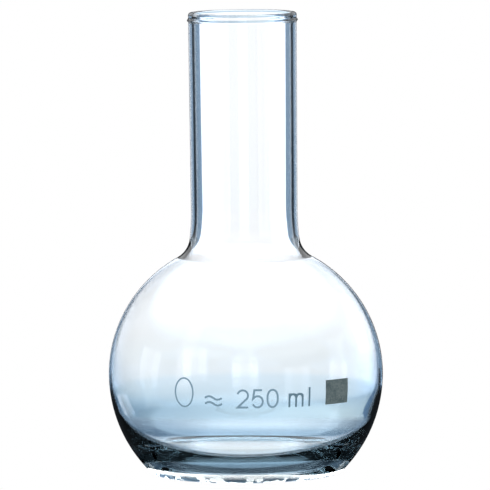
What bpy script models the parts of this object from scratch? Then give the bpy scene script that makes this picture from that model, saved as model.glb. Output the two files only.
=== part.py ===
"""250 ml narrow-neck boiling flask with a flat standing base.

One blown borosilicate vessel, open at the top, and the fired-on enamel marks
on the front of its bulb. Units are metres. +Z runs up the vessel's axis, the
origin is the centre of the standing ring, and the marks face -Y.
"""
import math

import bmesh
import bpy

MM = 0.001

# ---- vessel, outside (mm) -------------------------------------------------
BULB_R = 43.0            # greatest radius of the bulb
BULB_Z = 31.03           # height of that greatest radius above the table
CROWN_FLATTEN = 0.98     # the blown bulb is 2 % lower above its equator
HEEL_R = 2.2             # outside rounding where the bulb meets the base
FOOT_RING_W = 4.0        # width of the flat standing ring
PUSH_UP = 1.3            # height of the dome pressed up inside that ring
SHOULDER_R = 8.07        # small arc from the bulb into the neck
SWEEP_R = 72.4           # long, gentle arc that runs the small one into the neck
SWEEP_ANGLE = 0.1226     # angle turned by the long arc, radians
NECK_R_LOW = 16.67       # neck radius just above the shoulder
NECK_R_TOP = 16.94       # neck radius below the lip
HEIGHT = 144.58          # overall height

# ---- lip ------------------------------------------------------------------
LIP_BAND_R = 17.33       # small collar under the fire-polished rim
LIP_BAND_Z = 142.15      # height of the collar
LIP_BAND_H = 0.55        # height of the collar's section
RIM_R = 16.98            # outside radius of the rim above the collar

# ---- vessel, inside (mm) --------------------------------------------------
NECK_WALL = 1.75         # wall of the neck
CAVITY_R = 42.2          # inside radius of the bulb
CAVITY_Z = 31.3          # height of the cavity's greatest radius
FLOOR_Z = 3.6            # inside floor near the heel
FLOOR_RISE = 0.5         # the floor follows the push-up at the centre
INNER_HEEL_R = 24.0      # inside rounding of the heel, where the glass gathers
INNER_SHOULDER_R = 9.2   # small inside arc at the shoulder

# ---- mesh steps -----------------------------------------------------------
SEGMENTS = 48
HEEL_STEPS = 4
BULB_STEPS = 18
SHOULDER_STEPS = 6
SWEEP_STEPS = 3
INNER_HEEL_STEPS = 6

# ---- enamel marks (mm) ----------------------------------------------------
ENAMEL_GAP = 0.12        # clear of the glass facets
ENAMEL_T = 0.20          # thickness of the print's solid
CELL = 1.1               # longest cell, so that the print follows the bulb
BASELINE = 25.0          # height of the marks' baseline
DIGIT_H = 5.95
LETTER_H = 4.3
STROKE = 0.62
OVAL_U, OVAL_V, OVAL_W, OVAL_H = -19.8, 4.75, 6.5, 9.4   # plain outline mark
OVAL_STROKE = 0.5
APPROX_U, APPROX_W = -12.9, 5.4                    # "about" sign, two waves
APPROX_V = (1.45, 3.25)                            # middle height of each wave
APPROX_SWING = 0.52
DIGIT_W = 3.85
DIGIT_U = (-2.95, 1.6, 6.3)                        # left edges of 2, 5 and 0
LETTER_M_U, LETTER_M_W = 13.3, 5.0
LETTER_L_U = 20.0
PATCH_U, PATCH_W, PATCH_H = 26.2, 9.1, 7.65        # write-on square


# ---------------------------------------------------------------------------
def arc(cx, cz, r, a0, a1, n):
    """n points after the first one, along an arc."""
    return [(cx + r * math.cos(a0 + (a1 - a0) * i / n),
             cz + r * math.sin(a0 + (a1 - a0) * i / n)) for i in range(1, n + 1)]


def wall(bulb_r, bulb_z, heel_r, base_z, neck_low, shoulder_r, heel_n):
    """Base to neck along one side of the glass: heel, bulb, shoulder, sweep.

    All arcs are tangent to each other. Returns the flat's radius and the
    points that follow it.
    """
    foot = math.sqrt((bulb_r - heel_r) ** 2 - (bulb_z - base_z - heel_r) ** 2)
    a_heel = math.atan2(base_z + heel_r - bulb_z, foot)
    pts = arc(foot, base_z + heel_r, heel_r, -math.pi / 2, a_heel, heel_n)
    c_r = neck_low + SWEEP_R - (SWEEP_R - shoulder_r) * math.cos(SWEEP_ANGLE)
    c_z = bulb_z + math.sqrt((bulb_r + shoulder_r) ** 2 - c_r ** 2)
    sweep_z = c_z + (SWEEP_R - shoulder_r) * math.sin(SWEEP_ANGLE)
    a_top = math.atan2(c_z - bulb_z, c_r)
    pts += arc(0.0, bulb_z, bulb_r, a_heel, a_top, BULB_STEPS)
    pts += arc(c_r, c_z, shoulder_r, a_top + math.pi, math.pi + SWEEP_ANGLE,
               SHOULDER_STEPS)
    pts += arc(neck_low + SWEEP_R, sweep_z, SWEEP_R, math.pi + SWEEP_ANGLE,
               math.pi, SWEEP_STEPS)
    pts = [(r, z if z < bulb_z else bulb_z + (z - bulb_z) * CROWN_FLATTEN)
           for r, z in pts]
    return foot, pts


def vessel_profile():
    """Closed section from the pole of the base round to the pole of the floor."""
    foot, outside = wall(BULB_R, BULB_Z, HEEL_R, 0.0, NECK_R_LOW, SHOULDER_R,
                         HEEL_STEPS)
    ring_in = foot - FOOT_RING_W
    p = [(0.0, PUSH_UP)]
    for i in range(1, 4):                      # concave dome of the base
        t = i / 4
        p.append((ring_in * t, PUSH_UP * (1 - t * t)))
    p += [(ring_in, 0.0), (foot, 0.0)]
    p += outside
    band = LIP_BAND_H / 2
    p += [(NECK_R_TOP, LIP_BAND_Z - 2.2 * band),
          (LIP_BAND_R, LIP_BAND_Z - 0.7 * band),
          (LIP_BAND_R, LIP_BAND_Z + 0.7 * band),
          (RIM_R, LIP_BAND_Z + 2.0 * band)]
    bead = NECK_WALL / 2
    p += arc(RIM_R - bead, HEIGHT - bead, bead, 0.0, math.pi, 7)
    inner_foot, inside = wall(CAVITY_R, CAVITY_Z, INNER_HEEL_R, FLOOR_Z,
                              NECK_R_LOW - NECK_WALL, INNER_SHOULDER_R,
                              INNER_HEEL_STEPS)
    p += [(NECK_R_TOP - NECK_WALL, LIP_BAND_Z - 3.0 * band)]
    p += inside[::-1]
    p += [(inner_foot, FLOOR_Z)]
    for i in range(3, 0, -1):
        t = i / 4
        p.append((inner_foot * t, FLOOR_Z + FLOOR_RISE * (1 - t * t)))
    p.append((0.0, FLOOR_Z + FLOOR_RISE))
    return p


def lathe(name, profile):
    """Turn a section that starts and ends on the axis into a closed solid."""
    bm = bmesh.new()
    rings = []
    for r, z in profile:
        if r < 1e-9:
            rings.append([bm.verts.new((0.0, 0.0, z * MM))])
            continue
        rings.append([bm.verts.new((r * MM * math.cos(2 * math.pi * k / SEGMENTS),
                                    r * MM * math.sin(2 * math.pi * k / SEGMENTS),
                                    z * MM)) for k in range(SEGMENTS)])
    for a, b in zip(rings, rings[1:]):
        for k in range(SEGMENTS):
            n = (k + 1) % SEGMENTS
            if len(a) == 1:
                bm.faces.new((a[0], b[n], b[k]))
            elif len(b) == 1:
                bm.faces.new((a[k], a[n], b[0]))
            else:
                bm.faces.new((a[k], a[n], b[n], b[k]))
    bmesh.ops.recalc_face_normals(bm, faces=bm.faces)
    return finish(name, bm)


def finish(name, bm):
    mesh = bpy.data.meshes.new(name)
    bm.to_mesh(mesh)
    bm.free()
    mesh.shade_smooth()
    mesh.set_sharp_from_angle(angle=math.radians(35))
    obj = bpy.data.objects.new(name, mesh)
    bpy.context.collection.objects.link(obj)
    return obj


# ---- enamel: thin plates bent round the bulb -------------------------------
def on_bulb(u, v, lift):
    """Map the print's flat (u round the bulb, v up) to the bulb's surface."""
    z = BASELINE + v
    lat = math.asin((z - BULB_Z) / BULB_R)
    lon = u / BULB_R
    r = BULB_R + lift
    k = CROWN_FLATTEN if z > BULB_Z else 1.0
    return (r * math.cos(lat) * math.sin(lon) * MM,
            -r * math.cos(lat) * math.cos(lon) * MM,
            (BULB_Z + r * math.sin(lat) * k) * MM)


def plate(name, cells, place, wrap=0):
    """Closed thin solid over a set of grid cells; place(i, j) gives (u, v)."""
    bm = bmesh.new()
    low, high = {}, {}

    def corner(i, j):
        key = (i % wrap if wrap else i, j)
        if key not in low:
            u, v = place(*key)
            low[key] = bm.verts.new(on_bulb(u, v, ENAMEL_GAP))
            high[key] = bm.verts.new(on_bulb(u, v, ENAMEL_GAP + ENAMEL_T))
        return key

    edges = {}
    for i, j in cells:
        c = [corner(i, j), corner(i + 1, j), corner(i + 1, j + 1), corner(i, j + 1)]
        bm.faces.new([high[k] for k in c])
        bm.faces.new([low[k] for k in reversed(c)])
        for a, b in zip(c, c[1:] + c[:1]):
            if (b, a) in edges:
                edges.pop((b, a))
            else:
                edges[(a, b)] = True
    for a, b in edges:
        bm.faces.new((high[b], high[a], low[a], low[b]))
    bmesh.ops.recalc_face_normals(bm, faces=bm.faces)
    return finish(name, bm)


def resample(path, step):
    """Points along a polyline no further apart than step, keeping corners."""
    out = [path[0]]
    for (x0, y0), (x1, y1) in zip(path, path[1:]):
        n = max(1, math.ceil(math.hypot(x1 - x0, y1 - y0) / step))
        out += [(x0 + (x1 - x0) * i / n, y0 + (y1 - y0) * i / n)
                for i in range(1, n + 1)]
    return out


def stroke(name, path, width, closed=False):
    """A pen stroke of constant width along a path, mitred at its corners."""
    pts = path if closed else resample(path, CELL)
    n = len(pts)

    def side(i, s):
        if closed:
            a, b, c = pts[i - 1], pts[i], pts[(i + 1) % n]
        else:
            a, b, c = pts[max(i - 1, 0)], pts[i], pts[min(i + 1, n - 1)]
        d0 = (b[0] - a[0], b[1] - a[1])
        d1 = (c[0] - b[0], c[1] - b[1])
        if d0 == (0.0, 0.0):
            d0 = d1
        if d1 == (0.0, 0.0):
            d1 = d0
        l0, l1 = math.hypot(*d0), math.hypot(*d1)
        n0 = (-d0[1] / l0, d0[0] / l0)
        n1 = (-d1[1] / l1, d1[0] / l1)
        m = (n0[0] + n1[0], n0[1] + n1[1])
        k = width / (m[0] * n0[0] + m[1] * n0[1]) * 0.5
        return (b[0] + m[0] * k * s, b[1] + m[1] * k * s)

    count = n if closed else n - 1
    return plate(name, [(i, 0) for i in range(count)],
                 lambda i, j: side(i, 1 if j else -1), wrap=n if closed else 0)


def oval(cx, cy, w, h, n, power=2.0):
    pts = []
    for i in range(n):
        a = 2 * math.pi * i / n
        c, s = math.cos(a), math.sin(a)
        pts.append((cx + w / 2 * math.copysign(abs(c) ** (2 / power), c),
                    cy + h / 2 * math.copysign(abs(s) ** (2 / power), s)))
    return pts


def bow(cx, cy, rx, ry, a0, a1, n):
    return [(cx + rx * math.cos(math.radians(a0 + (a1 - a0) * i / n)),
             cy + ry * math.sin(math.radians(a0 + (a1 - a0) * i / n)))
            for i in range(n + 1)]


def letter_m(name, u0, w, h, pen):
    """Three stems under two arches, on one grid of cells."""
    gap = (w - 3 * pen) / 2
    us, kinds = [0.0, pen], ["stem"]
    for g in range(2):
        base = us[-1]
        for i in range(1, 5):
            us.append(base + gap * i / 4)
            kinds.append("arch")
        us.append(us[-1] + pen)
        kinds.append("stem")
    stem_rows, spring = 4, h * 0.62

    def under(i):
        for g in range(2):
            a, b = pen + g * (gap + pen), pen + g * (gap + pen) + gap
            if a <= us[i] <= b:
                t = (us[i] - a) / (b - a) * 2 - 1
                return spring + (h - pen - spring) * math.sqrt(max(0.0, 1 - t * t))
        return spring

    def top(i):
        for g in range(2):
            a, b = g * (gap + pen), g * (gap + pen) + gap + 2 * pen
            if a <= us[i] <= b:
                t = (us[i] - a) / (b - a) * 2 - 1
                dip = 1 - math.sqrt(max(0.0, 1 - abs(t) ** 3))
                if g == 0 and t < 0:
                    dip = 0.0
                best = h - dip * pen * 0.9
                if abs(us[i] - (gap + pen)) < pen * 1.01 and abs(t) > 0.99:
                    best = h - pen * 0.55
                return best
        return h

    def place(i, j):
        if j <= stem_rows:
            return (u0 + us[i], under(i) if kinds[min(i, len(kinds) - 1)] == "arch"
                    and kinds[max(i - 1, 0)] == "arch" and j == stem_rows
                    else spring * j / stem_rows)
        return (u0 + us[i], top(i))

    cells = []
    for i, kind in enumerate(kinds):
        if kind == "stem":
            cells += [(i, j) for j in range(stem_rows)]
        cells.append((i, stem_rows))
    return plate(name, cells, place)


def rectangle(name, u0, v0, w, h):
    nu, nv = math.ceil(w / CELL), math.ceil(h / CELL)
    return plate(name, [(i, j) for i in range(nu) for j in range(nv)],
                 lambda i, j: (u0 + w * i / nu, v0 + h * j / nv))


def enamel_marks():
    half = STROKE / 2
    marks = [stroke("mark_oval", oval(OVAL_U, OVAL_V, OVAL_W - OVAL_STROKE,
                                      OVAL_H - OVAL_STROKE, 40), OVAL_STROKE,
                    closed=True)]
    for v, place in zip(APPROX_V, ("lower", "upper")):
        path = [(APPROX_U + APPROX_W * i / 16,
                 v + APPROX_SWING * math.sin(2 * math.pi * i / 16))
                for i in range(17)]
        marks.append(stroke("approx_wave_" + place, path, STROKE))

    w, h = DIGIT_W - STROKE, DIGIT_H - STROKE
    u = DIGIT_U[0] + half
    two = bow(u + w / 2, half + h * 0.70, w / 2, h * 0.30, 165, -38, 12)
    two += [(u + 0.02, half + 0.02), (u + w, half)]
    two[-2] = (u, half)
    marks.append(stroke("digit_2", two, STROKE))

    u = DIGIT_U[1] + half
    five = [(u + w * 0.93, half + h), (u + w * 0.20, half + h),
            (u + w * 0.07, half + h * 0.50)]
    five += bow(u + w / 2, half + h * 0.325, w / 2, h * 0.325, 128, -155, 14)
    marks.append(stroke("digit_5", five, STROKE))

    u = DIGIT_U[2] + half
    marks.append(stroke("digit_0", oval(u + w / 2, half + h / 2, w, h, 36, 2.25),
                        STROKE, closed=True))
    marks.append(letter_m("letter_m", LETTER_M_U, LETTER_M_W, LETTER_H, STROKE))
    marks.append(rectangle("letter_l", LETTER_L_U, 0.0, STROKE, DIGIT_H))
    marks.append(rectangle("write_on_patch", PATCH_U, 0.05, PATCH_W, PATCH_H))
    return marks


def material(name, color, roughness, metallic=0.0, transmission=0.0, ior=1.5):
    mat = bpy.data.materials.new(name)
    mat.use_nodes = True
    bsdf = mat.node_tree.nodes["Principled BSDF"]
    bsdf.inputs["Base Color"].default_value = (*color, 1.0)
    bsdf.inputs["Roughness"].default_value = roughness
    bsdf.inputs["Metallic"].default_value = metallic
    bsdf.inputs["Transmission Weight"].default_value = transmission
    bsdf.inputs["IOR"].default_value = ior
    return mat


def main():
    for obj in list(bpy.data.objects):
        bpy.data.objects.remove(obj, do_unlink=True)
    glass = material("borosilicate", (0.88, 0.95, 1.0), 0.02,
                     transmission=0.95, ior=1.474)
    enamel = material("fired_enamel", (0.35, 0.44, 0.53), 0.55)
    patch = material("matt_enamel", (0.16, 0.19, 0.20), 0.7)
    vessel = lathe("flask_glass", vessel_profile())
    vessel.data.materials.append(glass)
    for obj in enamel_marks():
        obj.data.materials.append(patch if obj.name == "write_on_patch" else enamel)


main()
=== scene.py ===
"""Looks of the 250 ml flat-bottom boiling flask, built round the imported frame."""
import math

import bmesh
import bpy
from mathutils import Matrix, Vector


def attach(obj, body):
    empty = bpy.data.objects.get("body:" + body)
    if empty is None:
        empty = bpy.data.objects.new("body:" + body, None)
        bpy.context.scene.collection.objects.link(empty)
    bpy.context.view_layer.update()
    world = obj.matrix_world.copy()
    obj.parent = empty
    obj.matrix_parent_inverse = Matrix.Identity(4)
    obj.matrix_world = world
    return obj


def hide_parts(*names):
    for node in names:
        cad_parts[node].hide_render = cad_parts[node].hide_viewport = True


MM = 0.001
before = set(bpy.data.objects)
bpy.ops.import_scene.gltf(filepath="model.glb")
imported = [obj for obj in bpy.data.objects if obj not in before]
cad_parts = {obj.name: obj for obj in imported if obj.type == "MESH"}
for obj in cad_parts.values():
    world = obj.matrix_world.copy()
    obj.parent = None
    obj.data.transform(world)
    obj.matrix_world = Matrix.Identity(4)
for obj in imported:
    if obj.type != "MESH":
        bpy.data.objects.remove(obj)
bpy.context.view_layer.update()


# --------------------------------------------------------------------------
# the vessel's own dimensions, as in the CAD part (mm)
# --------------------------------------------------------------------------
BULB_R = 43.0
BULB_Z = 31.03
CROWN_FLATTEN = 0.98
HEEL_R = 2.2
FOOT_RING_W = 4.0
PUSH_UP = 1.3
SHOULDER_R = 8.07
SWEEP_R = 72.4
SWEEP_ANGLE = 0.1226
NECK_R_LOW = 16.67
NECK_R_TOP = 16.94
HEIGHT = 144.58
LIP_BAND_R = 17.33
LIP_BAND_Z = 142.15
LIP_BAND_H = 0.55
RIM_R = 16.98
NECK_WALL = 1.75
CAVITY_R = 42.2
CAVITY_Z = 31.3
FLOOR_Z = 3.6
FLOOR_RISE = 0.5
INNER_HEEL_R = 24.0
INNER_SHOULDER_R = 9.2

SEGMENTS = 224


def arc(cx, cz, r, a0, a1, n):
    return [(cx + r * math.cos(a0 + (a1 - a0) * i / n),
             cz + r * math.sin(a0 + (a1 - a0) * i / n)) for i in range(1, n + 1)]


def wall(bulb_r, bulb_z, heel_r, base_z, neck_low, shoulder_r, heel_n, bulb_n):
    foot = math.sqrt((bulb_r - heel_r) ** 2 - (bulb_z - base_z - heel_r) ** 2)
    a_heel = math.atan2(base_z + heel_r - bulb_z, foot)
    pts = arc(foot, base_z + heel_r, heel_r, -math.pi / 2, a_heel, heel_n)
    c_r = neck_low + SWEEP_R - (SWEEP_R - shoulder_r) * math.cos(SWEEP_ANGLE)
    c_z = bulb_z + math.sqrt((bulb_r + shoulder_r) ** 2 - c_r ** 2)
    sweep_z = c_z + (SWEEP_R - shoulder_r) * math.sin(SWEEP_ANGLE)
    a_top = math.atan2(c_z - bulb_z, c_r)
    pts += arc(0.0, bulb_z, bulb_r, a_heel, a_top, bulb_n)
    pts += arc(c_r, c_z, shoulder_r, a_top + math.pi, math.pi + SWEEP_ANGLE, 16)
    pts += arc(neck_low + SWEEP_R, sweep_z, SWEEP_R, math.pi + SWEEP_ANGLE,
               math.pi, 8)
    pts = [(r, z if z < bulb_z else bulb_z + (z - bulb_z) * CROWN_FLATTEN)
           for r, z in pts]
    return foot, pts


def line(a, b, n):
    return [(a[0] + (b[0] - a[0]) * i / n, a[1] + (b[1] - a[1]) * i / n)
            for i in range(1, n + 1)]


def eased(a, b, n):
    """Points along a straight line, close together at both of its ends."""
    out = []
    for i in range(1, n + 1):
        t = 0.5 - 0.5 * math.cos(math.pi * i / n)
        out.append((a[0] + (b[0] - a[0]) * t, a[1] + (b[1] - a[1]) * t))
    return out


def vessel_profile():
    foot, outside = wall(BULB_R, BULB_Z, HEEL_R, 0.0, NECK_R_LOW, SHOULDER_R, 8, 90)
    ring_in = foot - FOOT_RING_W
    p = [(0.0, PUSH_UP)]
    for i in range(1, 12):
        t = i / 12
        p.append((ring_in * t, PUSH_UP * (1 - t * t)))
    p += [(ring_in, 0.0), (ring_in + 1.3, 0.0), (foot - 1.3, 0.0), (foot, 0.0)]
    p += outside
    band = LIP_BAND_H / 2
    neck_foot = outside[-1]
    p += eased(neck_foot, (NECK_R_TOP, LIP_BAND_Z - 2.2 * band), 30)
    for i in range(1, 13):                       # soft collar under the rim
        t = i / 12
        z = LIP_BAND_Z + band * (-2.2 + 4.4 * t)
        bump = 0.5 - 0.5 * math.cos(2 * math.pi * t)
        base = NECK_R_TOP + (RIM_R - NECK_R_TOP) * t
        p.append((base + (LIP_BAND_R - base) * bump ** 0.8, z))
    bead = NECK_WALL / 2
    p += line(p[-1], (RIM_R, HEIGHT - bead), 3)
    p += arc(RIM_R - bead, HEIGHT - bead, bead, 0.0, math.pi, 14)
    inner_foot, inside = wall(CAVITY_R, CAVITY_Z, INNER_HEEL_R, FLOOR_Z,
                              NECK_R_LOW - NECK_WALL, INNER_SHOULDER_R, 20, 80)
    p += eased(p[-1], inside[-1], 30)
    p += inside[-2::-1]
    p += [(inner_foot, FLOOR_Z)]
    for i in range(11, 0, -1):
        t = i / 12
        p.append((inner_foot * t, FLOOR_Z + FLOOR_RISE * (1 - t * t)))
    p.append((0.0, FLOOR_Z + FLOOR_RISE))
    return p


CAVITY_SHIFT = -0.20     # the blown cavity sits a little to one side


def lean(z):
    """Sideways shift of the cavity at height z (mm)."""
    t = min(max((z - 8.0) / 22.0, 0.0), 1.0) * min(max((78.0 - z) / 20.0, 0.0), 1.0)
    return CAVITY_SHIFT * t * t * (3 - 2 * t)


GATHER = 0.20            # extra glass just above the heel


def gather(z):
    t = max(0.0, 1.0 - ((z - 19.5) / 7.5) ** 2)
    return GATHER * t * t


def lathe(name, profile, segments, inside_from=None):
    bm = bmesh.new()
    rings = []
    for i, (r, z) in enumerate(profile):
        if r < 1e-9:
            rings.append([bm.verts.new((0.0, 0.0, z * MM))])
            continue
        dx = 0.0
        if inside_from is not None and i >= inside_from:
            dx = lean(z) * MM
            if r > 20.0:
                r -= gather(z)
                dx -= 0.35 * gather(z) * MM
        rings.append([bm.verts.new((dx + r * MM * math.cos(2 * math.pi * k / segments),
                                    r * MM * math.sin(2 * math.pi * k / segments),
                                    z * MM)) for k in range(segments)])
    for a, b in zip(rings, rings[1:]):
        for k in range(segments):
            n = (k + 1) % segments
            if len(a) == 1:
                bm.faces.new((a[0], b[n], b[k]))
            elif len(b) == 1:
                bm.faces.new((a[k], a[n], b[0]))
            else:
                bm.faces.new((a[k], a[n], b[n], b[k]))
    bmesh.ops.recalc_face_normals(bm, faces=bm.faces)
    mesh = bpy.data.meshes.new(name)
    bm.to_mesh(mesh)
    bm.free()
    mesh.shade_smooth()
    obj = bpy.data.objects.new(name, mesh)
    bpy.context.scene.collection.objects.link(obj)
    return obj


# enamel marks (mm), as in the CAD part; the print itself is far thinner
PRINT_GAP = 0.012        # just off the glass
PRINT_T = 0.030
CELL = 0.25
BASELINE = 25.0          # height of the marks' baseline
DIGIT_H = 5.95
LETTER_H = 4.3
STROKE = 0.62
OVAL_U, OVAL_V, OVAL_W, OVAL_H = -19.8, 4.75, 6.5, 9.4   # plain outline mark
OVAL_STROKE = 0.5
APPROX_U, APPROX_W = -12.9, 5.4                    # "about" sign, two waves
APPROX_V = (1.45, 3.25)                            # middle height of each wave
APPROX_SWING = 0.52
DIGIT_W = 3.85
DIGIT_U = (-2.95, 1.6, 6.3)                        # left edges of 2, 5 and 0
LETTER_M_U, LETTER_M_W = 13.3, 5.0
LETTER_L_U = 20.0
PATCH_U, PATCH_W, PATCH_H = 26.2, 9.1, 7.65        # write-on square


# ---- enamel: thin prints lying on the bulb -------------------------------
def on_bulb(u, v, lift):
    """Map the print's flat (u round the bulb, v up) to the bulb's surface."""
    z = BASELINE + v
    lat = math.asin((z - BULB_Z) / BULB_R)
    lon = u / BULB_R
    r = BULB_R + lift
    k = CROWN_FLATTEN if z > BULB_Z else 1.0
    return (r * math.cos(lat) * math.sin(lon) * MM,
            -r * math.cos(lat) * math.cos(lon) * MM,
            (BULB_Z + r * math.sin(lat) * k) * MM)


def plate(name, cells, place, wrap=0):
    """Closed thin solid over a set of grid cells; place(i, j) gives (u, v)."""
    bm = bmesh.new()
    low, high = {}, {}

    def corner(i, j):
        key = (i % wrap if wrap else i, j)
        if key not in low:
            u, v = place(*key)
            low[key] = bm.verts.new(on_bulb(u, v, PRINT_GAP))
            high[key] = bm.verts.new(on_bulb(u, v, PRINT_GAP + PRINT_T))
        return key

    edges = {}
    for i, j in cells:
        c = [corner(i, j), corner(i + 1, j), corner(i + 1, j + 1), corner(i, j + 1)]
        bm.faces.new([high[k] for k in c])
        bm.faces.new([low[k] for k in reversed(c)])
        for a, b in zip(c, c[1:] + c[:1]):
            if (b, a) in edges:
                edges.pop((b, a))
            else:
                edges[(a, b)] = True
    for a, b in edges:
        bm.faces.new((high[b], high[a], low[a], low[b]))
    bmesh.ops.recalc_face_normals(bm, faces=bm.faces)
    mesh = bpy.data.meshes.new(name + "_print")
    bm.to_mesh(mesh)
    bm.free()
    mesh.shade_smooth()
    mesh.set_sharp_from_angle(angle=math.radians(35))
    obj = bpy.data.objects.new(name + "_print", mesh)
    bpy.context.scene.collection.objects.link(obj)
    return obj


def resample(path, step):
    """Points along a polyline no further apart than step, keeping corners."""
    out = [path[0]]
    for (x0, y0), (x1, y1) in zip(path, path[1:]):
        n = max(1, math.ceil(math.hypot(x1 - x0, y1 - y0) / step))
        out += [(x0 + (x1 - x0) * i / n, y0 + (y1 - y0) * i / n)
                for i in range(1, n + 1)]
    return out


def stroke(name, path, width, closed=False):
    """A pen stroke of constant width along a path, mitred at its corners."""
    pts = path if closed else resample(path, CELL)
    n = len(pts)

    def side(i, s):
        if closed:
            a, b, c = pts[i - 1], pts[i], pts[(i + 1) % n]
        else:
            a, b, c = pts[max(i - 1, 0)], pts[i], pts[min(i + 1, n - 1)]
        d0 = (b[0] - a[0], b[1] - a[1])
        d1 = (c[0] - b[0], c[1] - b[1])
        if d0 == (0.0, 0.0):
            d0 = d1
        if d1 == (0.0, 0.0):
            d1 = d0
        l0, l1 = math.hypot(*d0), math.hypot(*d1)
        n0 = (-d0[1] / l0, d0[0] / l0)
        n1 = (-d1[1] / l1, d1[0] / l1)
        m = (n0[0] + n1[0], n0[1] + n1[1])
        k = width / (m[0] * n0[0] + m[1] * n0[1]) * 0.5
        return (b[0] + m[0] * k * s, b[1] + m[1] * k * s)

    count = n if closed else n - 1
    return plate(name, [(i, 0) for i in range(count)],
                 lambda i, j: side(i, 1 if j else -1), wrap=n if closed else 0)


def oval(cx, cy, w, h, n, power=2.0):
    pts = []
    for i in range(n):
        a = 2 * math.pi * i / n
        c, s = math.cos(a), math.sin(a)
        pts.append((cx + w / 2 * math.copysign(abs(c) ** (2 / power), c),
                    cy + h / 2 * math.copysign(abs(s) ** (2 / power), s)))
    return pts


def bow(cx, cy, rx, ry, a0, a1, n):
    return [(cx + rx * math.cos(math.radians(a0 + (a1 - a0) * i / n)),
             cy + ry * math.sin(math.radians(a0 + (a1 - a0) * i / n)))
            for i in range(n + 1)]


def letter_m(name, u0, w, h, pen):
    """Three stems under two arches, on one grid of cells."""
    gap = (w - 3 * pen) / 2
    us, kinds = [0.0, pen], ["stem"]
    for g in range(2):
        base = us[-1]
        for i in range(1, 13):
            us.append(base + gap * i / 12)
            kinds.append("arch")
        us.append(us[-1] + pen)
        kinds.append("stem")
    stem_rows, spring = 8, h * 0.62

    def under(i):
        for g in range(2):
            a, b = pen + g * (gap + pen), pen + g * (gap + pen) + gap
            if a <= us[i] <= b:
                t = (us[i] - a) / (b - a) * 2 - 1
                return spring + (h - pen - spring) * math.sqrt(max(0.0, 1 - t * t))
        return spring

    def top(i):
        for g in range(2):
            a, b = g * (gap + pen), g * (gap + pen) + gap + 2 * pen
            if a <= us[i] <= b:
                t = (us[i] - a) / (b - a) * 2 - 1
                dip = 1 - math.sqrt(max(0.0, 1 - abs(t) ** 3))
                if g == 0 and t < 0:
                    dip = 0.0
                best = h - dip * pen * 0.9
                if abs(us[i] - (gap + pen)) < pen * 1.01 and abs(t) > 0.99:
                    best = h - pen * 0.55
                return best
        return h

    def place(i, j):
        if j <= stem_rows:
            return (u0 + us[i], under(i) if kinds[min(i, len(kinds) - 1)] == "arch"
                    and kinds[max(i - 1, 0)] == "arch" and j == stem_rows
                    else spring * j / stem_rows)
        return (u0 + us[i], top(i))

    cells = []
    for i, kind in enumerate(kinds):
        if kind == "stem":
            cells += [(i, j) for j in range(stem_rows)]
        cells.append((i, stem_rows))
    return plate(name, cells, place)


def rectangle(name, u0, v0, w, h):
    nu, nv = math.ceil(w / CELL), math.ceil(h / CELL)
    return plate(name, [(i, j) for i in range(nu) for j in range(nv)],
                 lambda i, j: (u0 + w * i / nu, v0 + h * j / nv))


def enamel_marks():
    half = STROKE / 2
    marks = [stroke("mark_oval", oval(OVAL_U, OVAL_V, OVAL_W - OVAL_STROKE,
                                      OVAL_H - OVAL_STROKE, 96), OVAL_STROKE,
                    closed=True)]
    for v, place in zip(APPROX_V, ("lower", "upper")):
        path = [(APPROX_U + APPROX_W * i / 48,
                 v + APPROX_SWING * math.sin(2 * math.pi * i / 48))
                for i in range(49)]
        marks.append(stroke("approx_wave_" + place, path, STROKE))

    w, h = DIGIT_W - STROKE, DIGIT_H - STROKE
    u = DIGIT_U[0] + half
    two = bow(u + w / 2, half + h * 0.70, w / 2, h * 0.30, 165, -38, 36)
    two += [(u + 0.02, half + 0.02), (u + w, half)]
    two[-2] = (u, half)
    marks.append(stroke("digit_2", two, STROKE))

    u = DIGIT_U[1] + half
    five = [(u + w * 0.93, half + h), (u + w * 0.20, half + h),
            (u + w * 0.07, half + h * 0.50)]
    five += bow(u + w / 2, half + h * 0.325, w / 2, h * 0.325, 128, -155, 42)
    marks.append(stroke("digit_5", five, STROKE))

    u = DIGIT_U[2] + half
    marks.append(stroke("digit_0", oval(u + w / 2, half + h / 2, w, h, 72, 2.25),
                        STROKE, closed=True))
    marks.append(letter_m("letter_m", LETTER_M_U, LETTER_M_W, LETTER_H, STROKE))
    marks.append(rectangle("letter_l", LETTER_L_U, 0.0, STROKE, DIGIT_H))
    marks.append(rectangle("write_on_patch", PATCH_U, 0.05, PATCH_W, PATCH_H))
    return marks


# --------------------------------------------------------------------------
# materials
# --------------------------------------------------------------------------
def new_material(name):
    mat = bpy.data.materials.new(name)
    mat.use_nodes = True
    return mat, mat.node_tree, mat.node_tree.nodes["Principled BSDF"]


def glass_material():
    mat, tree, bsdf = new_material("borosilicate_glass")
    bsdf.inputs["Base Color"].default_value = (1.0, 1.0, 1.0, 1.0)
    bsdf.inputs["Roughness"].default_value = 0.0
    bsdf.inputs["IOR"].default_value = 1.474
    bsdf.inputs["Transmission Weight"].default_value = 1.0
    vol = tree.nodes.new("ShaderNodeVolumeAbsorption")
    vol.inputs["Color"].default_value = (0.56, 0.60, 0.61, 1.0)
    vol.inputs["Density"].default_value = 100.0
    tree.links.new(vol.outputs[0], tree.nodes["Material Output"].inputs["Volume"])
    return mat


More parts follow.
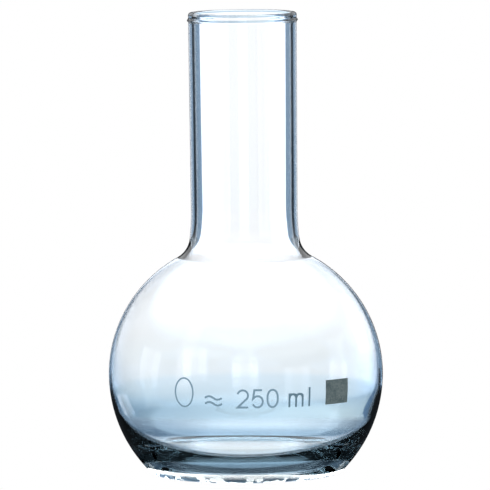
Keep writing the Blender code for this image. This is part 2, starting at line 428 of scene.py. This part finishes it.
def enamel_material(name, low, high, grain):
    """Matt fired enamel: fine grain of the screen, with a faint cloudiness."""
    mat, tree, bsdf = new_material(name)
    coord = tree.nodes.new("ShaderNodeTexCoord")
    fine = tree.nodes.new("ShaderNodeTexNoise")
    fine.inputs["Scale"].default_value = 2600.0
    fine.inputs["Detail"].default_value = 2.0
    cloud = tree.nodes.new("ShaderNodeTexNoise")
    cloud.inputs["Scale"].default_value = 420.0
    cloud.inputs["Detail"].default_value = 3.0
    for n in (fine, cloud):
        tree.links.new(coord.outputs["Object"], n.inputs["Vector"])
    spread = tree.nodes.new("ShaderNodeMix")
    spread.data_type = "FLOAT"
    spread.inputs[0].default_value = 0.35
    tree.links.new(fine.outputs["Fac"], spread.inputs[2])
    tree.links.new(cloud.outputs["Fac"], spread.inputs[3])
    span = tree.nodes.new("ShaderNodeMapRange")
    span.inputs["From Min"].default_value = 0.5 - 0.12 / max(grain, 0.3) * 0.9
    span.inputs["From Max"].default_value = 0.5 + 0.12 / max(grain, 0.3) * 0.9
    tree.links.new(spread.outputs[0], span.inputs["Value"])
    tint = tree.nodes.new("ShaderNodeMix")
    tint.data_type = "RGBA"
    tint.inputs[6].default_value = (*low, 1.0)
    tint.inputs[7].default_value = (*high, 1.0)
    tree.links.new(span.outputs[0], tint.inputs[0])
    tree.links.new(tint.outputs[2], bsdf.inputs["Base Color"])
    bsdf.inputs["Roughness"].default_value = 0.75
    bsdf.inputs["Specular IOR Level"].default_value = 0.15
    return mat


def emission(name, color, strength=1.0):
    mat = bpy.data.materials.new(name)
    mat.use_nodes = True
    tree = mat.node_tree
    tree.nodes.clear()
    out = tree.nodes.new("ShaderNodeOutputMaterial")
    em = tree.nodes.new("ShaderNodeEmission")
    em.inputs["Color"].default_value = (*color, 1.0)
    em.inputs["Strength"].default_value = strength
    tree.links.new(em.outputs[0], out.inputs[0])
    return mat, tree, em


# --------------------------------------------------------------------------
# the object
# --------------------------------------------------------------------------
profile = vessel_profile()
mouth = max(range(len(profile)), key=lambda i: profile[i][1])
flask = lathe("flask_glass_fine", profile, SEGMENTS, mouth)
flask.data.materials.append(glass_material())
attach(flask, "root")
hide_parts("flask_glass")

# painted shade: the prints are white enamel, given here the dark blue-grey they show against the back light; the
# letters are drawn darker still and the write-on patch darkest
print_painted_shade = enamel_material("screen_print", (0.165, 0.270, 0.355), (0.225, 0.345, 0.435), 0.30)
print_darker_painted_shade = enamel_material("screen_print_dense", (0.095, 0.170, 0.230), (0.150, 0.245, 0.310), 0.30)
patch_painted_shade = enamel_material("write_on_enamel", (0.060, 0.092, 0.100), (0.138, 0.176, 0.180), 1.0)
for print_ in enamel_marks():
    node = print_.name[:-len("_print")]
    print_.data.materials.append(patch_painted_shade if node == "write_on_patch" else
                                 print_darker_painted_shade if node.startswith("letter") else print_painted_shade)
    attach(print_, "root")
    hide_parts(node)

# --------------------------------------------------------------------------
# stage
# --------------------------------------------------------------------------
def srgb(r, g, b):
    def f(c):
        c /= 255.0
        return c / 12.92 if c <= 0.04045 else ((c + 0.055) / 1.055) ** 2.4
    return (f(r), f(g), f(b))


def disc(name, r_in, r_out, z, n=96):
    bm = bmesh.new()
    if r_in <= 0:
        c = bm.verts.new((0, 0, z))
        ring = [bm.verts.new((r_out * math.cos(2 * math.pi * k / n),
                              r_out * math.sin(2 * math.pi * k / n), z)) for k in range(n)]
        for k in range(n):
            bm.faces.new((c, ring[k], ring[(k + 1) % n]))
    else:
        a = [bm.verts.new((r_in * math.cos(2 * math.pi * k / n), r_in * math.sin(2 * math.pi * k / n), z)) for k in range(n)]
        b = [bm.verts.new((r_out * math.cos(2 * math.pi * k / n), r_out * math.sin(2 * math.pi * k / n), z)) for k in range(n)]
        for k in range(n):
            bm.faces.new((a[k], b[k], b[(k + 1) % n], a[(k + 1) % n]))
    mesh = bpy.data.meshes.new(name)
    bm.to_mesh(mesh)
    bm.free()
    obj = bpy.data.objects.new(name, mesh)
    bpy.context.scene.collection.objects.link(obj)
    return obj


def seen_by(obj, camera=False, diffuse=False, glossy=False, transmission=False):
    obj.visible_camera = camera
    obj.visible_diffuse = diffuse
    obj.visible_glossy = glossy
    obj.visible_transmission = transmission
    obj.visible_volume_scatter = False
    obj.visible_shadow = False
    return obj


# pure white floor that the camera and diffuse light see
floor = disc("floor", 0, 6.0, -0.0004)
floor.data.materials.append(emission("floor_white", (1, 1, 1))[0])
seen_by(floor, camera=True, diffuse=True)


class Nodes:
    """Small helper that builds chains of math nodes."""

    def __init__(self, tree):
        self.tree = tree

    def put(self, socket, value):
        if isinstance(value, (int, float)):
            socket.default_value = value
        elif isinstance(value, tuple):
            socket.default_value = value
        else:
            self.tree.links.new(value, socket)

    def math(self, op, a, b=0.0, clamp=False):
        n = self.tree.nodes.new("ShaderNodeMath")
        n.operation = op
        n.use_clamp = clamp
        self.put(n.inputs[0], a)
        self.put(n.inputs[1], b)
        return n.outputs[0]

    def smooth(self, value, lo, hi):
        n = self.tree.nodes.new("ShaderNodeMapRange")
        n.interpolation_type = "SMOOTHSTEP"
        self.put(n.inputs["Value"], value)
        self.put(n.inputs["From Min"], lo)
        self.put(n.inputs["From Max"], hi)
        return n.outputs["Result"]

    def mix(self, f, a, b):
        n = self.tree.nodes.new("ShaderNodeMix")
        n.data_type = "RGBA"
        self.put(n.inputs[0], f)
        self.put(n.inputs[6], a)
        self.put(n.inputs[7], b)
        return n.outputs[2]

    def gain(self, color):
        return self.mult(color, (*GAIN, 1.0))

    def mult(self, a, b):
        n = self.tree.nodes.new("ShaderNodeMix")
        n.data_type = "RGBA"
        n.blend_type = "MULTIPLY"
        n.clamp_result = False
        n.inputs[0].default_value = 1.0
        self.put(n.inputs[6], a)
        self.put(n.inputs[7], b)
        return n.outputs[2]

    def ramp(self, fac, stops):
        n = self.tree.nodes.new("ShaderNodeValToRGB")
        el = n.color_ramp.elements
        el[0].position, el[0].color = stops[0][0], (*stops[0][1], 1)
        el[1].position, el[1].color = stops[-1][0], (*stops[-1][1], 1)
        for pos, col in stops[1:-1]:
            e = el.new(pos)
            e.color = (*col, 1)
        self.put(n.inputs[0], fac)
        return n.outputs[0]


# The glass is lit the bright-field way: a lit lane behind it in every direction
# it is looked through, dark cards beside each lane.
GAIN = (1.22, 1.205, 1.19)
DARK = (0.008, 0.011, 0.013)
TENT = (0.16, 0.21, 0.26)
CEILING = (1.80, 2.50, 3.10)
LANES = [
    # azimuth, elevation of the lane's white, lowest and highest elevation it reaches
    (0, -5.0, -90.0, 24.0),
    (90, -4.5, -24.0, 14.0),
    (45, -24.0, -60.0, -14.0),
    (225, -15.0, -45.0, 8.0),
    (180, -4.5, -24.0, 14.0),
]
# colour down a lane, by degrees below its white
DROP_STOPS = [
    (-2.0, srgb(250, 251, 253)), (0.6, srgb(240, 245, 249)), (1.2, srgb(233, 242, 248)),
    (1.5, srgb(231, 241, 249)), (2.0, srgb(226, 239, 249)), (2.5, srgb(217, 234, 247)),
    (3.2, srgb(207, 228, 243)), (4.7, srgb(184, 212, 232)), (5.7, srgb(176, 206, 228)),
    (8.5, srgb(165, 197, 219)), (12.0, srgb(168, 199, 221)), (16.0, srgb(196, 219, 236)),
    (20.0, srgb(226, 239, 248)), (26.0, srgb(240, 247, 252)),
]
# half widths of its white and of its pale blue border, degrees
WHITE_W = [(-10.0, 11.0), (-8.0, 11.0), (-5.0, 10.8), (-2.0, 10.8), (0.4, 10.6), (2.0, 10.2), (3.0, 9.0), (5.0, 7.5), (10.0, 6.0),
           (17.0, 9.0), (22.0, 14.0)]
BLUE_W = [(-10.0, 13.5), (-8.0, 14.0), (-5.0, 30.0), (-2.0, 31.0), (0.2, 29.0), (1.0, 21.0), (3.0, 15.0), (5.5, 12.0), (10.0, 9.5),
          (17.0, 16.0), (22.0, 26.0)]


def by_drop(nd, drop, stops, scale=None):
    """Ramp over the drop from -10 to 26 degrees."""
    fac = nd.math("DIVIDE", nd.math("ADD", drop, 10.0), 36.0)
    if scale is None:
        return nd.ramp(fac, [((d + 10.0) / 36.0, c) for d, c in stops])
    out = nd.ramp(fac, [((d + 10.0) / 36.0, (v / scale,) * 3) for d, v in stops])
    return nd.math("MULTIPLY", out, scale)


def surround(nd, pos):
    """Colour of the surroundings in the direction of the point pos."""
    unit = nd.tree.nodes.new("ShaderNodeVectorMath")
    unit.operation = "NORMALIZE"
    nd.tree.links.new(pos, unit.inputs[0])
    sep = nd.tree.nodes.new("ShaderNodeSeparateXYZ")
    nd.tree.links.new(unit.outputs[0], sep.inputs[0])
    x, y, z = sep.outputs
    el = nd.math("DEGREES", nd.math("ARCSINE", z))
    high = nd.mix(nd.smooth(el, 26.0, 36.0), (*TENT, 1.0), (*CEILING, 1.0))
    col = nd.mix(nd.smooth(el, 0.0, 9.0), (*DARK, 1.0), high)
    for az, white_el, lowest, highest in LANES:
        a = math.radians(az)
        ux, uy = -math.sin(a), math.cos(a)
        ahead = nd.math("ADD", nd.math("MULTIPLY", x, ux), nd.math("MULTIPLY", y, uy))
        aside = nd.math("ADD", nd.math("MULTIPLY", x, uy), nd.math("MULTIPLY", y, -ux))
        signed = nd.math("DEGREES", nd.math("ARCSINE", aside))
        off = nd.math("ABSOLUTE", signed)
        drop = nd.math("SUBTRACT", white_el, el)
        keep = nd.math("MULTIPLY", nd.smooth(ahead, -0.02, 0.0),
                       nd.math("MULTIPLY", nd.smooth(el, lowest - 3.0, lowest),
                               nd.smooth(el, highest + 3.0, highest)))
        base = by_drop(nd, drop, DROP_STOPS)
        neck = nd.smooth(drop, 0.9, 0.2)         # the part seen through the neck
        aside_gain = nd.mix(neck, (1.10, 1.17, 1.26, 1.0), (1.02, 1.03, 1.035, 1.0))
        base = nd.mult(base, nd.mix(nd.smooth(off, 2.5, 8.0), (1.0, 1.0, 1.0, 1.0), aside_gain))
        base = nd.mult(base, nd.mix(neck, (1.0, 1.0, 1.0, 1.0), (1.09, 1.10, 1.115, 1.0)))
        # the steep sides of the bulb lose light to reflection: brighter cards there
        steep = nd.math("MULTIPLY", nd.smooth(off, 2.2, 5.8), nd.smooth(drop, 6.0, 3.0))
        plain = base
        base = nd.mult(base, nd.mix(steep, (1.0, 1.0, 1.0, 1.0), (1.50, 1.60, 1.74, 1.0)))
        low = nd.math("MULTIPLY", nd.smooth(drop, 5.0, 9.0), nd.smooth(drop, 18.0, 14.0))
        tilt = nd.mix(nd.smooth(signed, -2.5, 2.0), (0.66, 0.72, 0.78, 1.0), (1.50, 1.36, 1.24, 1.0))
        base = nd.mult(base, nd.mix(low, (1.0, 1.0, 1.0, 1.0), tilt))
        edge = nd.mult(plain, (0.24, 0.35, 0.48, 1.0))
        w_ = by_drop(nd, drop, WHITE_W, 40.0)
        b_ = by_drop(nd, drop, BLUE_W, 40.0)
        in_blue = nd.math("MULTIPLY", keep, nd.smooth(nd.math("DIVIDE", off, b_), 1.08, 0.92))
        in_white = nd.math("MULTIPLY", keep, nd.smooth(nd.math("DIVIDE", off, w_), 1.08, 0.94))
        lane = nd.mix(in_white, edge, base)
        col = nd.mix(in_blue, col, lane)
    return col


# spot of floor under and just behind the foot, seen only through the glass; painted shade and light on it: dark in
# a ring under the foot, pale under its middle
NEAR_R = 0.075
ABSORB = (0.044, 0.040, 0.039)           # of the glass, per mm


def through(color, path_mm):
    """Light that reaches the eye as this colour after so much glass."""
    return tuple(c / math.exp(-a * (path_mm - 3.5)) for c, a in zip(color, ABSORB))


NEAR_STOPS = [
    (0.000, through(srgb(226, 240, 248), 6.0)), (0.011, through(srgb(224, 239, 248), 6.2)),
    (0.015, through(srgb(200, 221, 236), 6.8)), (0.0195, through(srgb(186, 211, 230), 7.6)),
    (0.0215, through(srgb(112, 142, 165), 13.5)), (0.0285, through(srgb(104, 134, 156), 13.5)),
    (0.0300, through(srgb(136, 168, 194), 8.0)), (0.0370, through(srgb(136, 168, 196), 7.0)),
    (0.0420, through(srgb(158, 188, 212), 6.0)), (0.0470, through(srgb(188, 213, 233), 5.2)),
    (0.0540, through(srgb(205, 227, 244), 4.8)), (0.0750, through(srgb(190, 216, 236), 3.6)),
]
NEAR_GAIN = 2.0


def near_tint(color, path_mm):
    return tuple(v / NEAR_GAIN for v in through(color, path_mm)) + (1.0,)


near = disc("floor_near_foot", 0, NEAR_R, -0.0006)
mat, tree, em = emission("near_floor", (1, 1, 1))
nd = Nodes(tree)
geo = tree.nodes.new("ShaderNodeNewGeometry")
sep = tree.nodes.new("ShaderNodeSeparateXYZ")
tree.links.new(geo.outputs["Position"], sep.inputs[0])
px, py = sep.outputs[0], sep.outputs[1]
dist = nd.math("SQRT", nd.math("ADD", nd.math("MULTIPLY", px, px), nd.math("MULTIPLY", py, py)))
base = nd.ramp(nd.math("DIVIDE", dist, NEAR_R), [(r / NEAR_R, tuple(v / NEAR_GAIN for v in c))
                                              for r, c in NEAR_STOPS])
# the lit patch behind the foot is narrower than the foot
aside = nd.math("ABSOLUTE", nd.math("SUBTRACT", px, 0.006))
side = nd.math("MULTIPLY", nd.smooth(aside, 0.010, 0.040), nd.smooth(dist, 0.030, 0.034))
col = nd.mult(base, nd.mix(side, (1.0, 1.0, 1.0, 1.0), (0.40, 0.47, 0.55, 1.0)))
# painted light: behind the axis the floor under the foot is drawn bright
back = nd.math("MULTIPLY", nd.smooth(py, -0.004, 0.006), nd.smooth(dist, 0.0310, 0.0290))
col = nd.mix(back, col, near_tint(srgb(218, 234, 245), 6.0))
# painted shadow: under the front of the foot the floor is drawn in a darker bow
bow_r = nd.math("SQRT", nd.math("ADD", nd.math("MULTIPLY", nd.math("MULTIPLY", px, px), 0.56),
                                nd.math("MULTIPLY", py, py)))
front = nd.math("MULTIPLY", nd.math("MULTIPLY", nd.smooth(bow_r, 0.0176, 0.0193), nd.smooth(bow_r, 0.0262, 0.0246)),
                nd.smooth(py, -0.006, -0.011))
col = nd.mix(front, col, near_tint(srgb(42, 58, 72), 14.0))
# painted shade: the floor beside the ends of the foot, in front of the axis, is drawn nearly black
ends = nd.math("MULTIPLY", nd.smooth(nd.math("ABSOLUTE", px), 0.0225, 0.0285),
               nd.math("MULTIPLY", nd.smooth(dist, 0.020, 0.022), nd.smooth(py, 0.006, -0.002)))
col = nd.mult(col, nd.mix(ends, (1.0, 1.0, 1.0, 1.0), (0.10, 0.12, 0.13, 1.0)))
tree.links.new(nd.gain(col), em.inputs["Color"])
em.inputs["Strength"].default_value = NEAR_GAIN
clear = tree.nodes.new("ShaderNodeBsdfTransparent")
fade = tree.nodes.new("ShaderNodeMixShader")
nd.put(fade.inputs[0], nd.smooth(dist, 0.055, 0.073))
tree.links.new(em.outputs[0], fade.inputs[1])
tree.links.new(clear.outputs[0], fade.inputs[2])
tree.links.new(fade.outputs[0], [n for n in tree.nodes if n.type == "OUTPUT_MATERIAL"][0].inputs[0])
near.data.materials.append(mat)
seen_by(near, transmission=True)

world = bpy.data.worlds.new("studio")
bpy.context.scene.world = world
world.use_nodes = True
world.node_tree.nodes["Background"].inputs["Color"].default_value = (1, 1, 1, 1)
world.node_tree.nodes["Background"].inputs["Strength"].default_value = 1.0

# surroundings, seen only in and through the glass
bm = bmesh.new()
bmesh.ops.create_uvsphere(bm, u_segments=96, v_segments=64, radius=6.0)
me = bpy.data.meshes.new("dome")
bm.to_mesh(me)
bm.free()
dome = bpy.data.objects.new("dome", me)
bpy.context.scene.collection.objects.link(dome)
mat, tree, em = emission("dome_gradient", (1, 1, 1))
nd = Nodes(tree)
geo = tree.nodes.new("ShaderNodeNewGeometry")
col = surround(nd, geo.outputs["Position"])
tree.links.new(nd.gain(col), em.inputs["Color"])
em.inputs["Strength"].default_value = 1.0
dome.data.materials.append(mat)
seen_by(dome, transmission=True)

# what the outside of the glass mirrors: a dim room with one tall soft box,
# high on the left in front
SOFTBOX_AZ, SOFTBOX_LOW, SOFTBOX_HIGH, SOFTBOX_S = -126.0, -6.0, 54.0, 1.9
room = dome.copy()
room.data = dome.data.copy()
room.name = room.data.name = "room"
room.scale = (0.98, 0.98, 0.98)
bpy.context.scene.collection.objects.link(room)
mat, tree, em = emission("room_glow", (1, 1, 1))
nd = Nodes(tree)
geo = tree.nodes.new("ShaderNodeNewGeometry")
unit = tree.nodes.new("ShaderNodeVectorMath")
unit.operation = "NORMALIZE"
tree.links.new(geo.outputs["Position"], unit.inputs[0])
sep = tree.nodes.new("ShaderNodeSeparateXYZ")
tree.links.new(unit.outputs[0], sep.inputs[0])
x_, y_, z_ = sep.outputs
el = nd.math("DEGREES", nd.math("ARCSINE", z_))
a = math.radians(SOFTBOX_AZ)
ahead = nd.math("ADD", nd.math("MULTIPLY", x_, math.sin(a)), nd.math("MULTIPLY", y_, math.cos(a)))
aside = nd.math("ADD", nd.math("MULTIPLY", x_, math.cos(a)), nd.math("MULTIPLY", y_, -math.sin(a)))
off = nd.math("ABSOLUTE", nd.math("DEGREES", nd.math("ARCTAN2", aside, ahead)))
width = nd.math("ADD", 6.5, nd.math("MULTIPLY", el, 0.03))
box = nd.math("MULTIPLY", nd.smooth(nd.math("DIVIDE", off, width), 1.35, 0.65),
              nd.math("MULTIPLY", nd.smooth(el, SOFTBOX_LOW - 5.0, SOFTBOX_LOW + 3.0),
                      nd.smooth(el, SOFTBOX_HIGH + 8.0, SOFTBOX_HIGH - 14.0)))
ahead_of_eye = nd.smooth(y_, 0.80, 0.93)          # what the very edges mirror stays dark
sides = nd.smooth(nd.math("SUBTRACT", el, nd.math("MULTIPLY", ahead_of_eye, 9.0)), -4.0, 6.0)
front = nd.smooth(el, 16.0, 21.0)
behind = nd.smooth(y_, -0.35, -0.15)             # 1 behind the flask, 0 in front of it
lit = nd.math("ADD", nd.math("MULTIPLY", sides, behind),
              nd.math("MULTIPLY", front, nd.math("SUBTRACT", 1.0, behind)))
dim = nd.mix(lit, (0.020, 0.025, 0.030, 1.0), (0.96, 0.98, 1.0, 1.0))
soft = (1.00 * SOFTBOX_S, 0.93 * SOFTBOX_S, 0.95 * SOFTBOX_S, 1.0)
tree.links.new(nd.mix(box, dim, soft), em.inputs["Color"])
room.data.materials.clear()
room.data.materials.append(mat)
seen_by(room, glossy=True)

# lit floor round the foot, seen only as a reflection in the underside of the heel,
# broken up where the uneven foot touches it
SKIRT_IN, SKIRT_OUT, SKIRT_S = 0.0285, 0.0328, 15.0
skirt = disc("floor_round_foot", SKIRT_IN, SKIRT_OUT, -0.0005, 192)
mat, tree, em = emission("skirt_light", (1, 1, 1), SKIRT_S)
nd = Nodes(tree)
geo = tree.nodes.new("ShaderNodeNewGeometry")
blot = tree.nodes.new("ShaderNodeTexNoise")
blot.noise_dimensions = "3D"
blot.inputs["Scale"].default_value = 270.0
blot.inputs["Detail"].default_value = 3.0
blot.inputs["Roughness"].default_value = 0.6
tree.links.new(geo.outputs["Position"], blot.inputs["Vector"])
sep = tree.nodes.new("ShaderNodeSeparateXYZ")
tree.links.new(geo.outputs["Position"], sep.inputs[0])
px, py = sep.outputs[0], sep.outputs[1]
dist = nd.math("SQRT", nd.math("ADD", nd.math("MULTIPLY", px, px), nd.math("MULTIPLY", py, py)))
edge_r = nd.math("SUBTRACT", SKIRT_OUT, nd.math("MULTIPLY", 0.0015,
                 nd.smooth(px, 0.008, 0.028)))
inner = nd.smooth(nd.math("SUBTRACT", edge_r, dist), 0.0004, 0.0021)
dark_part = nd.math("MULTIPLY", nd.smooth(nd.math("ADD", blot.outputs["Fac"],
                   nd.math("MULTIPLY", nd.smooth(px, -0.005, 0.015), 0.04)), 0.475, 0.525), inner)
col = nd.mix(dark_part, (0.93, 0.98, 1.0, 1.0), (0.03, 0.045, 0.07, 1.0))
col = nd.mult(col, nd.mix(nd.smooth(nd.math("SUBTRACT", edge_r, dist), 0.0, 0.0004), (0.0, 0.0, 0.0, 1.0), (1.0, 1.0, 1.0, 1.0)))
tree.links.new(col, em.inputs["Color"])
skirt.data.materials.append(mat)
seen_by(skirt, glossy=True)

# softer light further out, mirrored by the wall just above the heel
GLOW_IN, GLOW_OUT = 0.0362, 0.0412
glow = disc("glow_round_foot", GLOW_IN, GLOW_OUT, -0.0004, 192)
mat, tree, em = emission("glow_light", (1, 1, 1), 4.0)
nd = Nodes(tree)
geo = tree.nodes.new("ShaderNodeNewGeometry")
sep = tree.nodes.new("ShaderNodeSeparateXYZ")
tree.links.new(geo.outputs["Position"], sep.inputs[0])
px, py = sep.outputs[0], sep.outputs[1]
dist = nd.math("SQRT", nd.math("ADD", nd.math("MULTIPLY", px, px), nd.math("MULTIPLY", py, py)))
up = nd.math("MULTIPLY", nd.smooth(dist, 0.0364, 0.0380), nd.smooth(dist, 0.0412, 0.0390))
up = nd.math("MULTIPLY", up, nd.math("MULTIPLY", nd.smooth(nd.math("ABSOLUTE", px), 0.027, 0.017),
                                     nd.smooth(py, -0.020, -0.026)))
tree.links.new(nd.mix(up, (0.0, 0.0, 0.0, 1.0), (0.42, 0.70, 0.92, 1.0)), em.inputs["Color"])
glow.data.materials.append(mat)
seen_by(glow, glossy=True)

# --------------------------------------------------------------------------
# camera
# --------------------------------------------------------------------------
CAM_D, CAM_H, AIM_Z, CAM_X, ROLL = 1.94592, 0.25192, 0.07151, 0.000126, 0.00999
FOCAL_PX = 6235.5
cam_data = bpy.data.cameras.new("camera")
cam_data.sensor_width = 36.0
cam_data.lens = 36.0 * FOCAL_PX / 490.0
cam_data.clip_start, cam_data.clip_end = 0.05, 60.0
cam = bpy.data.objects.new("camera", cam_data)
bpy.context.scene.collection.objects.link(cam)
pitch = math.atan2(CAM_H - AIM_Z, CAM_D)
fw = Vector((0, math.cos(pitch), -math.sin(pitch)))
up = Vector((0, math.sin(pitch), math.cos(pitch)))
rt = Vector((1, 0, 0))
right = rt * math.cos(ROLL) - up * math.sin(ROLL)
top = rt * math.sin(ROLL) + up * math.cos(ROLL)
m = Matrix((right, top, -fw)).transposed().to_4x4()
m.translation = Vector((CAM_X, -CAM_D, CAM_H))
cam.matrix_world = m
bpy.context.scene.camera = cam

scene = bpy.context.scene
scene.view_settings.view_transform = "Standard"
scene.view_settings.look = "None"
scene.cycles.max_bounces = 32
scene.cycles.transmission_bounces = 32
scene.cycles.glossy_bounces = 16
scene.cycles.transparent_max_bounces = 16
